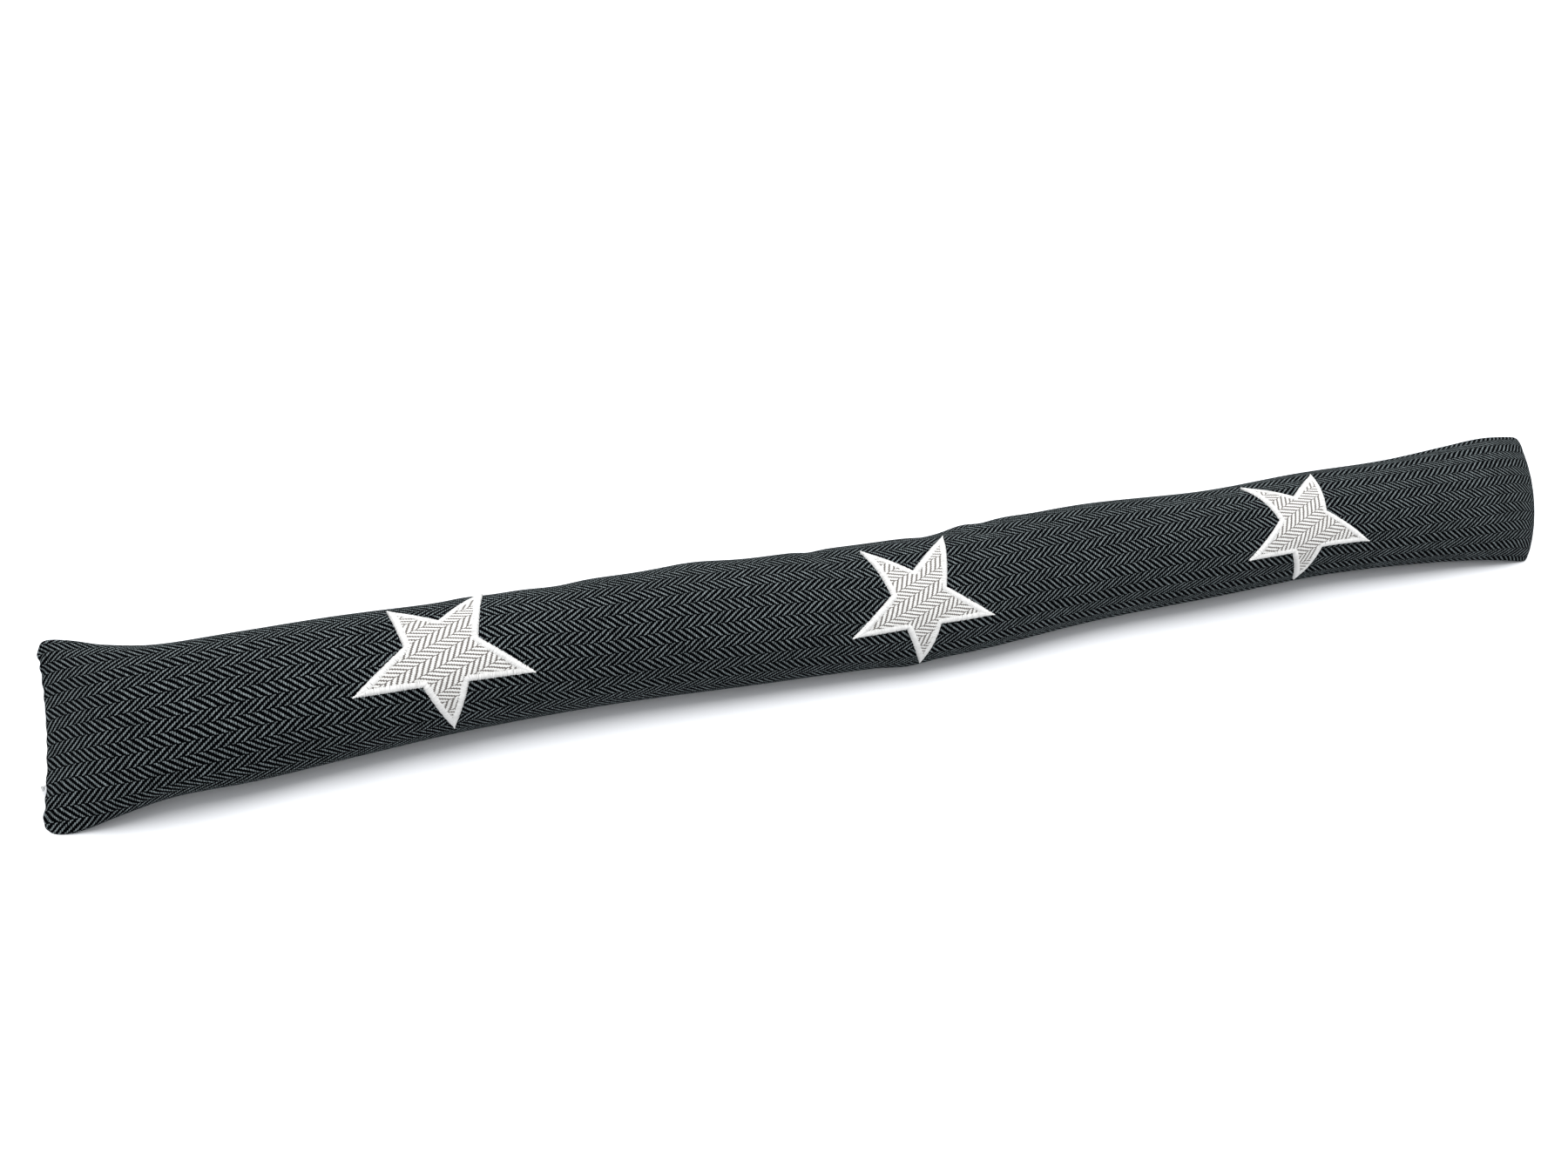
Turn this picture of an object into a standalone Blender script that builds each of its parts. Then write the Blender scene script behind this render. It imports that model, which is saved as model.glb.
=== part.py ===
"""Draught excluder: a long filled bag of herringbone cloth with three stars sewn to its front.

X runs along the bag, from its left end to its right one, +Y is the back and +Z is up.
The origin is on the floor, under the middle of the object's box.
"""

import math
from collections import namedtuple

import bmesh
import bpy
from mathutils import Vector

MM = 0.001

# ---- The bag ---------------------------------------------------------------------------------

RING_POINTS = 36            # points around one section of the bag
ROW_SPACING = 10.5          # mm between sections along the plain part of the bag
END_ROWS = (0, 1.5, 4, 8, 13, 19, 26, 34)   # mm from an end seam to each closer section
FLOOR_PRESS = 2.2           # mm that the bag's weight flattens off its underside
EAR_RADIUS = 5              # mm, rounding of the two corners of an end seam

# One row for each section, in millimetres and degrees.
#   x      place along the bag
#   y      the section's middle, behind (+) or before (-) the bag's line
#   width  the section's long way, from its front edge to its back edge
#   depth  the section's short way, through the filling
#   tilt   how far the back edge stands above the front one
#   lead   how far the back edge runs ahead of the front one towards +X
#   belly  how far the middle of the section runs ahead of its two edges towards +X
#   lift   how far the underside stands clear of the floor
Section = namedtuple("Section", "x y width depth tilt lead belly lift")
SECTIONS = [
    Section(-458, 13, 99, 3, 21, -2, 3, 0),
    Section(-450, 10, 101, 17, 21, -3, 2.5, 0),
    Section(-440, 6.7, 97, 28, 21, -3, 1, 0.6),
    Section(-425, 0.3, 87.4, 41, 21, -2, 0, 3),
    Section(-400, -4.8, 76.5, 53, 21, 0, 0, 4.5),
    Section(-365, -4, 75, 59, 22, 0, 0, 1.7),
    Section(-320, -2, 72, 62, 23, 0, 0, 1),
    Section(-266, -1, 67, 66, 25, 0, 0, 0),
    Section(-190, 0, 68, 66, 25, 0, 0, 0),
    Section(-100, -2, 71, 62, 26, 0, 0, 0),
    Section(0, -4, 73, 60, 26, 0, 0, 0),
    Section(100, 2, 72, 63, 27, 0, 0, 0),
    Section(190, 1, 67, 65, 27, 0, 0, 0),
    Section(266, 4, 68, 65, 29, 0, 0, 0),
    Section(330, 3, 71, 62, 33, 3, 0, 0),
    Section(385, 3, 79, 54, 36, 8, 1, 0),
    Section(415, 3, 85, 45, 36, 15, 2, 0),
    Section(434, 3, 87, 32, 36, 20.5, 4, 0),
    Section(445, 3, 87, 18, 36, 25.5, 5, 0.5),
    Section(451, 4, 85, 3, 36, 29, 5, 1.2),
]

# Soft dents in the filled cloth. x is along the bag in mm; around is the angle on the section,
# 0 at its back edge, 90 on the upper front, 180 at its front edge; length is along the bag and
# width around it, both in mm; slant turns the dent's long way, in degrees; depth is in mm, and
# less than nothing for a swelling.
Dent = namedtuple("Dent", "x around length width slant depth")
DENTS = [
    Dent(-68, 44, 15, 44, -12, 2.2),
    Dent(-212, 14, 26, 24, 10, 2.2),
    Dent(-258, 18, 24, 24, 0, -0.8),
    Dent(0, 22, 26, 20, 20, 1.6),
    Dent(50, 14, 40, 24, 0, -1.4),
    Dent(36, 50, 46, 13, 24, 1.8),
    Dent(80, 62, 50, 13, 30, 1.6),
    Dent(-26, 205, 34, 30, 0, -1.8),
    Dent(410, 190, 90, 9, -4, 2.6),
    Dent(-356, 150, 52, 18, 18, 1.5),
    Dent(-138, 22, 50, 26, 0, -1.8),
    Dent(24, 20, 22, 22, 0, -1.8),
]

# ---- The stars -------------------------------------------------------------------------------

STAR_GAP = 0.6              # mm between the bag and a star's underside
STAR_THICKNESS = 1.2        # mm, cloth and border together
STAR_CUT = 7.5              # mm between the cuts that let a star follow the bag

# x and around place the star's middle as on a dent. turn is in degrees from the position with
# one arm straight down. inner is the distance in mm from the middle to the corners between the
# arms. arms are the arms' lengths in mm and swings are the degrees that each is turned further,
# the lowest first and then anticlockwise: the stars are cut by hand and not quite alike.
Star = namedtuple("Star", "node x around turn inner arms swings")
STARS = [
    Star("star_left", -273, 98, -2, 18, (42, 45, 46, 39, 45), (3, -1.5, 6.5, 1, 1.5)),
    Star("star_middle", -23.5, 109, 1, 17, (40, 45, 49, 43, 44), (0.5, -1.5, 0, -3, 1)),
    Star("star_right", 235, 106, 1.5, 18.8, (39.5, 51, 45, 45, 46), (-0.5, -1, -1.5, 1, -0.5)),
]

# ---- The tab in the left end seam ------------------------------------------------------------

TAB_ALONG = 32              # mm along the seam
TAB_MIDDLE = -10            # mm from the seam's middle towards the front ear
TAB_OUT = 2.6               # mm that the tab stands out of the seam before it bends down
TAB_DROP = 4                # mm that it hangs down
TAB_THICKNESS = 1.0
TAB_GAP = 0.4               # mm between the tab's root and the seam

# ---- Finishes: colour, roughness -------------------------------------------------------------

COVER_COLOUR = (0.035, 0.038, 0.040, 1.0)
STAR_COLOUR = (0.70, 0.68, 0.64, 1.0)
TAB_COLOUR = (0.85, 0.85, 0.84, 1.0)
CLOTH_ROUGHNESS = 0.9


def clear_scene():
    for found in list(bpy.data.objects):
        bpy.data.objects.remove(found, do_unlink=True)


def cloth_material(name, colour):
    material = bpy.data.materials.new(name)
    material.use_nodes = True
    surface = material.node_tree.nodes["Principled BSDF"]
    surface.inputs["Base Color"].default_value = colour
    surface.inputs["Roughness"].default_value = CLOTH_ROUGHNESS
    surface.inputs["Metallic"].default_value = 0.0
    return material


def add_object(name, mesh, collection, material):
    made = bpy.data.objects.new(name, mesh)
    made.data.materials.append(material)
    collection.objects.link(made)
    return made


def slope(rows, index, field):
    """The table's own slope at a row, from the rows on its two sides."""
    before = rows[max(index - 1, 0)]
    after = rows[min(index + 1, len(rows) - 1)]
    return (getattr(after, field) - getattr(before, field)) / (after.x - before.x)


def section_value(x, field):
    """A column of the section table at any x, as a smooth curve through the rows."""
    x = min(max(x, SECTIONS[0].x), SECTIONS[-1].x)
    index = 0
    while index < len(SECTIONS) - 2 and x > SECTIONS[index + 1].x:
        index += 1
    low, high = SECTIONS[index], SECTIONS[index + 1]
    span = high.x - low.x
    t = (x - low.x) / span
    start, end = getattr(low, field), getattr(high, field)
    start_slope = slope(SECTIONS, index, field) * span
    end_slope = slope(SECTIONS, index + 1, field) * span
    return (
        (2 * t**3 - 3 * t**2 + 1) * start
        + (t**3 - 2 * t**2 + t) * start_slope
        + (3 * t**2 - 2 * t**3) * end
        + (t**3 - t**2) * end_slope
    )


def ear_inset(x):
    """How far the rounded corners of the end seams narrow a section on each side."""
    from_end = min(x - SECTIONS[0].x, SECTIONS[-1].x - x)
    if from_end >= EAR_RADIUS:
        return 0.0
    return EAR_RADIUS - math.sqrt(EAR_RADIUS**2 - (EAR_RADIUS - from_end) ** 2)


def dent_depth(x, angle, half_width):
    """The depth of all dents together at a place on the bag."""
    total = 0.0
    for dent in DENTS:
        along = x - dent.x
        off = (math.degrees(angle) - dent.around + 180) % 360 - 180
        around = math.radians(off) * half_width
        slant = math.radians(dent.slant)
        main = along * math.cos(slant) + around * math.sin(slant)
        cross = around * math.cos(slant) - along * math.sin(slant)
        reach = (2 * main / dent.length) ** 2 + (2 * cross / dent.width) ** 2
        total += dent.depth * math.exp(-1.4 * reach)
    return total


def ring(x, count):
    """The points of the bag's section at x, in millimetres, once around."""
    full_width = section_value(x, "width") / 2
    half_depth = section_value(x, "depth") / 2
    tilt = math.radians(section_value(x, "tilt"))
    lead = section_value(x, "lead")
    belly = section_value(x, "belly")
    centre_y = section_value(x, "y")
    # How far a tilted oval reaches below its middle. The floor takes FLOOR_PRESS off it.
    reach_down = math.hypot(full_width * math.sin(tilt), half_depth * math.cos(tilt))
    centre_z = reach_down - FLOOR_PRESS + section_value(x, "lift")
    half_width = full_width - ear_inset(x)
    points = []
    for index in range(count):
        angle = 2 * math.pi * index / count
        dent = min(dent_depth(x, angle, half_width), 0.4 * half_depth)
        across = (half_width - dent) * math.cos(angle)
        through = (half_depth - dent) * math.sin(angle)
        share = math.cos(angle)
        points.append(Vector((
            x + lead * share / 2 + belly * (1 - share**2),
            centre_y + across * math.cos(tilt) - through * math.sin(tilt),
            max(centre_z + across * math.sin(tilt) + through * math.cos(tilt), 0.0),
        )))
    return points


def section_places():
    """Where the bag's sections stand along X: close together at the ends, even between them."""
    first, last = SECTIONS[0].x, SECTIONS[-1].x
    left = [first + distance for distance in END_ROWS]
    right = [last - distance for distance in reversed(END_ROWS)]
    gap = right[0] - left[-1]
    steps = round(gap / ROW_SPACING)
    middle = [left[-1] + gap * step / steps for step in range(1, steps)]
    return left + middle + right


def close_end(mesh, points):
    """A strip of faces across a flat end, each joining its upper side to its lower side."""
    half = RING_POINTS // 2
    for index in range(half):
        upper = (points[index], points[index + 1])
        lower = (points[-index - 1], points[-index % RING_POINTS])
        corners = [upper[0], upper[1], lower[0], lower[1]]
        mesh.faces.new(dict.fromkeys(corners))


def make_cover(collection):
    """The bag: sections lofted along X and closed by a flat seam at each end."""
    mesh = bmesh.new()
    rows = []
    for x in section_places():
        rows.append([mesh.verts.new(point * MM) for point in ring(x, RING_POINTS)])
    for row, following in zip(rows, rows[1:]):
        for index in range(RING_POINTS):
            after = (index + 1) % RING_POINTS
            mesh.faces.new((row[index], row[after], following[after], following[index]))
    close_end(mesh, rows[0])
    close_end(mesh, rows[-1])
    bmesh.ops.recalc_face_normals(mesh, faces=mesh.faces)
    data = bpy.data.meshes.new("cover")
    mesh.to_mesh(data)
    mesh.free()
    data.shade_smooth()
    return add_object("cover", data, collection, cloth_material("cover", COVER_COLOUR))


def cloth_point(x, around, distance):
    """The point on the bag that lies a distance around it from an angle, up being positive."""
    count = 240
    points = ring(x, count)
    place = around / 360 * count
    index = int(place)
    point = points[index % count].lerp(points[(index + 1) % count], place - index)
    step = -1 if distance > 0 else 1
    left = abs(distance)
    following = index if step < 0 else index + 1
    while True:
        target = points[following % count]
        length = (target - point).length
        if length >= left:
            return point.lerp(target, left / length) if length else point
        left -= length
        point = target
        following += step


def lifted_point(x, around, distance, lift):
    """A point a little above the bag, square to its surface."""
    reach = 1.0
    along = cloth_point(x + reach, around, distance) - cloth_point(x - reach, around, distance)
    up = cloth_point(x, around, distance + reach) - cloth_point(x, around, distance - reach)
    return cloth_point(x, around, distance) + along.cross(up).normalized() * lift


def cut_into_strips(mesh, reach):
    """Cuts a flat shape along and across, so that it can bend over the bag."""
    steps = int(reach / STAR_CUT) + 1
    for axis in (Vector((1, 0, 0)), Vector((0, 1, 0))):
        for step in range(-steps, steps + 1):
            place = axis * step * STAR_CUT
            parts = mesh.verts[:] + mesh.edges[:] + mesh.faces[:]
            bmesh.ops.bisect_plane(mesh, geom=parts, dist=0.05, plane_co=place, plane_no=axis)


def make_star(star, collection, material):
    """A star cut flat, bent over the bag and given the cloth's thickness."""
    mesh = bmesh.new()
    outline = []
    for arm, (length, swing) in enumerate(zip(star.arms, star.swings)):
        for radius, half_step, turn in ((length, 0, star.turn + swing), (star.inner, 0.5, star.turn)):
            angle = math.radians(turn - 90 + 360 * (arm + half_step) / len(star.arms))
            corner = (radius * math.cos(angle), radius * math.sin(angle), 0)
            outline.append(mesh.verts.new(corner))
    mesh.faces.new(outline)
    cut_into_strips(mesh, max(star.arms))
    bmesh.ops.triangulate(mesh, faces=mesh.faces)
    for corner in mesh.verts:
        along, up = corner.co.x, corner.co.y
        corner.co = lifted_point(star.x + along, star.around, up, STAR_GAP) * MM
    data = bpy.data.meshes.new(star.node)
    mesh.to_mesh(data)
    mesh.free()
    made = add_object(star.node, data, collection, material)
    thicken = made.modifiers.new("cloth thickness", "SOLIDIFY")
    thicken.thickness = STAR_THICKNESS * MM
    thicken.offset = 1.0
    return made


def make_tab(collection):
    """A short tab that leaves the left end seam and hangs down behind it."""
    end = ring(SECTIONS[0].x, RING_POINTS)
    front, back = end[RING_POINTS // 2], end[0]
    along = (back - front).normalized()
    half_seam = (back - front).length / 2
    # The seam bows inwards, least at the tab's far corner, so the tab keeps its gap there.
    far_corner = abs(TAB_MIDDLE) + TAB_ALONG / 2
    bow = SECTIONS[0].belly * (1 - (far_corner / half_seam) ** 2)
    root = (front + back) / 2 + along * TAB_MIDDLE + Vector((bow - TAB_GAP, 0, 0))
    # The tab's side view, from its root outwards and down, and the thickness inside it.
    profile = [
        (0, TAB_THICKNESS / 2),
        (-TAB_OUT + 1, TAB_THICKNESS / 2),
        (-TAB_OUT, -TAB_THICKNESS / 2),
        (-TAB_OUT, -TAB_DROP),
        (-TAB_OUT + TAB_THICKNESS, -TAB_DROP),
        (-TAB_OUT + TAB_THICKNESS, -TAB_THICKNESS / 2),
        (0, -TAB_THICKNESS / 2),
    ]
    mesh = bmesh.new()
    sides = []
    for end_side in (-TAB_ALONG / 2, TAB_ALONG / 2):
        place = root + along * end_side
        sides.append([
            mesh.verts.new((place + Vector((out, 0, up))) * MM) for out, up in profile
        ])
    for index in range(len(profile)):
        after = (index + 1) % len(profile)
        mesh.faces.new((sides[0][index], sides[0][after], sides[1][after], sides[1][index]))
    mesh.faces.new(sides[0])
    mesh.faces.new(sides[1])
    bmesh.ops.recalc_face_normals(mesh, faces=mesh.faces)
    data = bpy.data.meshes.new("label_tab")
    mesh.to_mesh(data)
    mesh.free()
    return add_object("label_tab", data, collection, cloth_material("label_tab", TAB_COLOUR))


def centre_on_origin(objects):
    """Moves every piece so that the origin is under the middle of the object's box."""
    bpy.context.view_layer.update()
    corners = [piece.matrix_world @ Vector(c) for piece in objects for c in piece.bound_box]
    low = [min(corner[axis] for corner in corners) for axis in range(3)]
    high = [max(corner[axis] for corner in corners) for axis in range(3)]
    shift = Vector(((low[0] + high[0]) / 2, (low[1] + high[1]) / 2, low[2]))
    for piece in objects:
        for vertex in piece.data.vertices:
            vertex.co -= shift
        piece.data.update()


def main():
    clear_scene()
    collection = bpy.data.collections.new("draught_excluder")
    bpy.context.scene.collection.children.link(collection)
    star_material = cloth_material("star", STAR_COLOUR)
    pieces = [make_cover(collection), make_tab(collection)]
    pieces += [make_star(star, collection, star_material) for star in STARS]
    centre_on_origin(pieces)


main()
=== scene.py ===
# %% [markdown]
# # A draught excluder of herringbone cloth
#
# A draught excluder is a long filled bag that lies against the foot of a door. This one is a tube
# of charcoal and grey herringbone cloth, closed by a flat seam at each end and filled with
# polyester fibre. Three pale stars are sewn to its upper front with a thick satin stitch.
#
# The solids come first. They say how large the bag is and where each piece lies, and everything
# below is made to fit them. X runs along the bag, +Y is its back and +Z is up.

# %% Load the solids
import math
from collections import namedtuple

import bmesh
import bpy
import numpy as np
from mathutils import Matrix, Vector
from mathutils.bvhtree import BVHTree


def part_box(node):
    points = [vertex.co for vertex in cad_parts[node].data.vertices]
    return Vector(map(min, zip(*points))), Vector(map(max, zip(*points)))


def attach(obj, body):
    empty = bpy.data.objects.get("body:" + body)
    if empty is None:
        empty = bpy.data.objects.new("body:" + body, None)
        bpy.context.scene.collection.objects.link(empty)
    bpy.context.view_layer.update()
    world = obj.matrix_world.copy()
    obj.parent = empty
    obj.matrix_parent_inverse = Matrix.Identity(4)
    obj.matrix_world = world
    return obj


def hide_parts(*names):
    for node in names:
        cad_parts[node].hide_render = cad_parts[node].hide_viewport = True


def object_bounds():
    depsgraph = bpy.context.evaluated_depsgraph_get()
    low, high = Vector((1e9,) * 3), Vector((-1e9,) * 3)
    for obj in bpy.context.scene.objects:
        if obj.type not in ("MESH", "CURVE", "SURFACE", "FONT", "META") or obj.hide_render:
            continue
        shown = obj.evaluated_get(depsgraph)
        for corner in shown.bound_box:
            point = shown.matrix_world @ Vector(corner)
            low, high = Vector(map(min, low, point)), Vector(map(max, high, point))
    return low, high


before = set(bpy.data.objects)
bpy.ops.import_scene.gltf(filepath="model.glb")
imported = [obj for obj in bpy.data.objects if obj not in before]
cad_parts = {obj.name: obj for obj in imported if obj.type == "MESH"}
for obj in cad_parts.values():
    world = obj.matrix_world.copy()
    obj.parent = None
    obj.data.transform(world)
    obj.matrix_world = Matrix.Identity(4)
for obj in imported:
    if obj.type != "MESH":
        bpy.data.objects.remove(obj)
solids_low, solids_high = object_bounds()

MM = 0.001
TINY = 1e-9                         # in place of a length of nothing that something is divided by
solids_size = solids_high - solids_low
print("solids, mm:", [round(side / MM, 1) for side in solids_size])

# %% [markdown]
# ## Camera
#
# The photograph looks down at the bag by 40 degrees, from the left of its middle, with the
# camera rolled a little, so the bag rises to the right and grows smaller with distance. Three
# angles say this more clearly than a rotation matrix does, so the matrix is worked out from them.

# %% Camera
CAMERA_PLACE = (-0.2941, -0.4660, 0.4754)
HEADING = math.radians(23.34)       # to the right of +Y
LOOK_DOWN = math.radians(40.0)
ROLL = math.radians(6.94)
LENS = 28.0                         # mm, on a sensor 36 mm wide
NEAREST_SEEN = 0.01                 # m from the camera


def camera_axes(heading, look_down, roll):
    """The camera's right, up and back directions."""
    level = Vector((math.cos(heading), -math.sin(heading), 0))
    ahead = Vector((
        math.sin(heading) * math.cos(look_down),
        math.cos(heading) * math.cos(look_down),
        -math.sin(look_down),
    ))
    upright = level.cross(ahead)
    right = level * math.cos(roll) + upright * math.sin(roll)
    return right, right.cross(ahead), -ahead


def add_object(name, data):
    """Puts a camera, a light or a mesh in the scene as an object of its own."""
    made = bpy.data.objects.new(name, data)
    bpy.context.scene.collection.objects.link(made)
    return made


camera_data = bpy.data.cameras.new("camera")
camera_data.lens = LENS
camera_data.clip_start = NEAREST_SEEN
camera = add_object("camera", camera_data)
camera.location = CAMERA_PLACE
turn = Matrix(camera_axes(HEADING, LOOK_DOWN, ROLL)).transposed()
camera.rotation_euler = turn.to_euler()
bpy.context.scene.camera = camera
print("camera looks along", [round(part, 3) for part in -turn.col[2]])

# %% [markdown]
# ## Floor and light
#
# The bag lies on a white sweep that the exposure lifts to plain white, and the only shadow is the
# dark line under its near side. That takes an even white sky, which darkens the floor only close
# to the bag, and one large soft light straight above, under which the bag's round side shades the
# floor in front of it.

# %% Floor and light
FLOOR_SIDE = 8.0                    # m
FLOOR_DROP = 0.0001                 # m that keeps the floor clear of the bag's flat underside
FLOOR_SURFACE = {
    "Base Color": (0.62, 0.628, 0.645, 1), "Roughness": 0.7, "Specular IOR Level": 0.2,
}
SKY = {"Color": (0.97, 0.985, 1.0, 1), "Strength": 1.35}
SOFTBOX_PLACE = (-0.1, 0.0, 2.1)
SOFTBOX_SIDE = 1.7                  # m
SOFTBOX_POWER = 70                  # W


def set_values(node, values):
    """Sets a node's named inputs."""
    for label, value in values.items():
        node.inputs[label].default_value = value


def new_finish(name, values):
    """A material with these values on its surface: the material, its tree and its surface."""
    finish = bpy.data.materials.new(name)
    finish.use_nodes = True
    surface = finish.node_tree.nodes["Principled BSDF"]
    set_values(surface, values)
    return finish, finish.node_tree, surface


bpy.ops.mesh.primitive_plane_add(size=FLOOR_SIDE, location=(0, 0, -FLOOR_DROP))
floor = bpy.context.object
floor.name = "floor"
floor.data.materials.append(new_finish("floor_white", FLOOR_SURFACE)[0])

sky = bpy.data.worlds.new("sky")
sky.use_nodes = True
set_values(sky.node_tree.nodes["Background"], SKY)
bpy.context.scene.world = sky

softbox_data = bpy.data.lights.new("softbox", "AREA")
softbox_data.size = SOFTBOX_SIDE
softbox_data.energy = SOFTBOX_POWER
softbox = add_object("softbox", softbox_data)
softbox.location = SOFTBOX_PLACE
to_bag = Vector((0, 0, 0)) - Vector(SOFTBOX_PLACE)
softbox.rotation_euler = to_bag.to_track_quat("-Z", "Y").to_euler()
bpy.context.scene.view_settings.view_transform = "Standard"
print("sky", SKY["Strength"], "softbox", SOFTBOX_POWER, "W")

# %% [markdown]
# ## The bag's form
#
# The filled bag is a flat tube blown up by its filling: 99 mm wide at its left seam, 85 mm at its
# right one, 3 mm thick at both, and close to round in between. It lies rolled forward, so its back
# edge is the higher one. Behind the front corner of its left end it bridges the floor.
# A table of sections holds this, the same one as the solid's, and a smooth curve through each of
# its columns gives the section anywhere.

# %% The section table
FLOOR_PRESS = 2.2                   # mm that the weight flattens off the underside
EAR_RADIUS = 5                      # mm, rounding of the two corners of an end seam

# Millimetres and degrees: the section's middle, its long and short ways, how far its back edge
# stands above and runs ahead of the front one, how far its middle runs ahead, and its lift.
Section = namedtuple("Section", "x y width depth tilt lead belly lift")
SECTIONS = [
    Section(-458, 13, 99, 3, 21, -2, 3, 0),
    Section(-450, 10, 101, 17, 21, -3, 2.5, 0),
    Section(-440, 6.7, 97, 28, 21, -3, 1, 0.6),
    Section(-425, 0.3, 87.4, 41, 21, -2, 0, 3),
    Section(-400, -4.8, 76.5, 53, 21, 0, 0, 4.5),
    Section(-365, -4, 75, 59, 22, 0, 0, 1.7),
    Section(-320, -2, 72, 62, 23, 0, 0, 1),
    Section(-266, -1, 67, 66, 25, 0, 0, 0),
    Section(-190, 0, 68, 66, 25, 0, 0, 0),
    Section(-100, -2, 71, 62, 26, 0, 0, 0),
    Section(0, -4, 73, 60, 26, 0, 0, 0),
    Section(100, 2, 72, 63, 27, 0, 0, 0),
    Section(190, 1, 67, 65, 27, 0, 0, 0),
    Section(266, 4, 68, 65, 29, 0, 0, 0),
    Section(330, 3, 71, 62, 33, 3, 0, 0),
    Section(385, 3, 79, 54, 36, 8, 1, 0),
    Section(415, 3, 85, 45, 36, 15, 2, 0),
    Section(434, 3, 87, 32, 36, 20.5, 4, 0),
    Section(445, 3, 87, 18, 36, 25.5, 5, 0.5),
    Section(451, 4, 85, 3, 36, 29, 5, 1.2),
]

# Soft dents: place along the bag, angle around it (0 back edge, 90 upper front, 180 front edge),
# length, width, slant of the long way in degrees, and depth, less than nothing for a swelling.
Dent = namedtuple("Dent", "x around length width slant depth")
DENTS = [
    Dent(-68, 44, 15, 44, -12, 2.2),
    Dent(-212, 14, 26, 24, 10, 2.2),
    Dent(-258, 18, 24, 24, 0, -0.8),
    Dent(0, 22, 26, 20, 20, 1.6),
    Dent(50, 14, 40, 24, 0, -1.4),
    Dent(36, 50, 46, 13, 24, 1.8),
    Dent(80, 62, 50, 13, 30, 1.6),
    Dent(-26, 205, 34, 30, 0, -1.8),
    Dent(410, 190, 90, 9, -4, 2.6),
    Dent(-356, 150, 52, 18, 18, 1.5),
    Dent(-138, 22, 50, 26, 0, -1.8),
    Dent(24, 20, 22, 22, 0, -1.8),
]


def table_value(x, field, rows=SECTIONS):
    """A column of a table at any x, as a smooth curve through its rows."""
    places = np.array([row.x for row in rows], float)
    values = np.array([getattr(row, field) for row in rows], float)
    last = len(places) - 1
    before = np.maximum(np.arange(last + 1) - 1, 0)
    after = np.minimum(np.arange(last + 1) + 1, last)
    slopes = (values[after] - values[before]) / (places[after] - places[before])
    x = np.clip(x, places[0], places[-1])
    low = np.clip(np.searchsorted(places, x) - 1, 0, last - 1)
    span = places[low + 1] - places[low]
    t = (x - places[low]) / span
    return (
        (2 * t**3 - 3 * t**2 + 1) * values[low]
        + (t**3 - 2 * t**2 + t) * slopes[low] * span
        + (3 * t**2 - 2 * t**3) * values[low + 1]
        + (t**3 - t**2) * slopes[low + 1] * span
    )


middle_size = [round(float(table_value(0, field)), 1) for field in ("width", "depth")]
print("the bag at its middle, mm:", middle_size)

# %% [markdown]
# A ring of the bag is a tilted oval that the floor flattens from below, less its dents. The
# functions take whole arrays of places, because the stars and stitches need thousands of points.

# %% Rings of the bag
DENT_EDGE = 1.4                     # how steeply a dent's edge falls
DENT_LIMIT = 0.4                    # of the half depth that dents may take away


def dent_depth(x, angle, half_width):
    """The depth of all dents together, in mm."""
    total = np.zeros(np.broadcast(x, angle).shape)
    for dent in DENTS:
        along = x - dent.x
        off = (np.degrees(angle) - dent.around + 180) % 360 - 180
        around = np.radians(off) * half_width
        slant = math.radians(dent.slant)
        main = along * math.cos(slant) + around * math.sin(slant)
        cross = around * math.cos(slant) - along * math.sin(slant)
        reach = (2 * main / dent.length) ** 2 + (2 * cross / dent.width) ** 2
        total += dent.depth * np.exp(-DENT_EDGE * reach)
    return total


def bag_rings(x, angle):
    """Points on the bag in mm, for places along it and angles around it."""
    x, angle = np.broadcast_arrays(np.asarray(x, float), angle)
    full_width = table_value(x, "width") / 2
    half_depth = table_value(x, "depth") / 2
    tilt = np.radians(table_value(x, "tilt"))
    reach_down = np.hypot(full_width * np.sin(tilt), half_depth * np.cos(tilt))
    middle_z = reach_down - FLOOR_PRESS + table_value(x, "lift")
    from_end = np.clip(np.minimum(x - SECTIONS[0].x, SECTIONS[-1].x - x), 0, EAR_RADIUS)
    half_width = full_width - EAR_RADIUS + np.sqrt(EAR_RADIUS**2 - (EAR_RADIUS - from_end) ** 2)
    dent = np.minimum(dent_depth(x, angle, half_width), DENT_LIMIT * half_depth)
    across = (half_width - dent) * np.cos(angle)
    through = (half_depth - dent) * np.sin(angle)
    share = np.cos(angle)
    return np.stack((
        x + table_value(x, "lead") * share / 2 + table_value(x, "belly") * (1 - share**2),
        table_value(x, "y") + across * np.cos(tilt) - through * np.sin(tilt),
        np.maximum(middle_z + across * np.sin(tilt) + through * np.cos(tilt), 0),
    ), axis=-1)


BOX_SAMPLES = (400, 180)            # places along the bag and around it that give its box

# The table's line isn't the solid's origin: the cover's box says how far apart they are.
cover_low, cover_high = (np.array(corner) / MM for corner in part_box("cover"))
whole_bag = bag_rings(
    np.linspace(SECTIONS[0].x, SECTIONS[-1].x, BOX_SAMPLES[0])[:, None],
    np.linspace(0, 2 * math.pi, BOX_SAMPLES[1], endpoint=False)[None, :],
).reshape(-1, 3)
TO_FRAME = (cover_low + cover_high - whole_bag.min(0) - whole_bag.max(0)) / 2
TO_FRAME[2] = 0
print("table to frame, mm:", TO_FRAME.round(2))

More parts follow.
